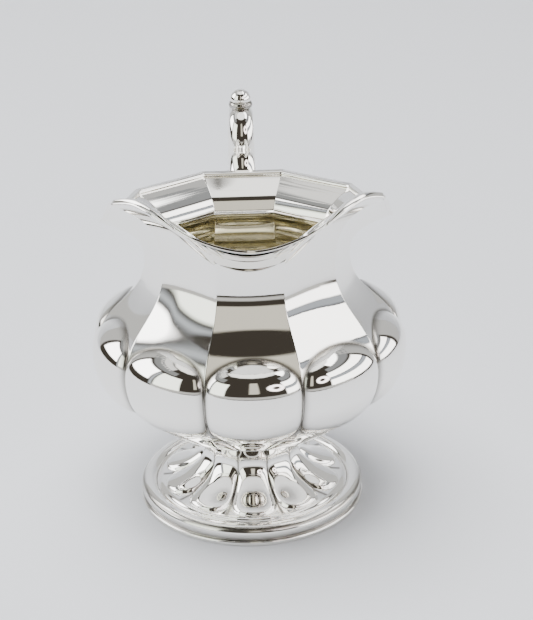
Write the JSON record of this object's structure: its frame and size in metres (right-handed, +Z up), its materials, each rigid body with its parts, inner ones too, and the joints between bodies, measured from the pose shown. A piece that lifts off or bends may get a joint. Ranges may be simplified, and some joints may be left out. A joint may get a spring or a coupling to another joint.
{
  "type": "cream jug",
  "caption": "Silver cream jug: lobed bowl on a round gadrooned foot, flared panelled neck, wavy rim with wide pouring lip, and a loop handle with a bead.",
  "frame": {"origin": "centre of the foot, on the table", "axes": "+Z up along the axis of the bowl, -Y towards the pouring lip, +Y towards the handle"},
  "size_m": [0.0862, 0.1155, 0.1058],
  "materials": {
    "sheet_silver": "polished",
    "wire_silver": "polished, grey in the grooves",
    "cast_silver": "polished"
  },
  "bodies": {
    "root": {"body_shell": "sheet_silver", "rim_moulding": "wire_silver", "foot_shell": "sheet_silver", "foot_collar": "wire_silver", "foot_ring": "wire_silver", "handle": "cast_silver", "handle_pad": "cast_silver", "finial_collar": "cast_silver", "finial_bead": "cast_silver"}
  },
  "joints": []
}
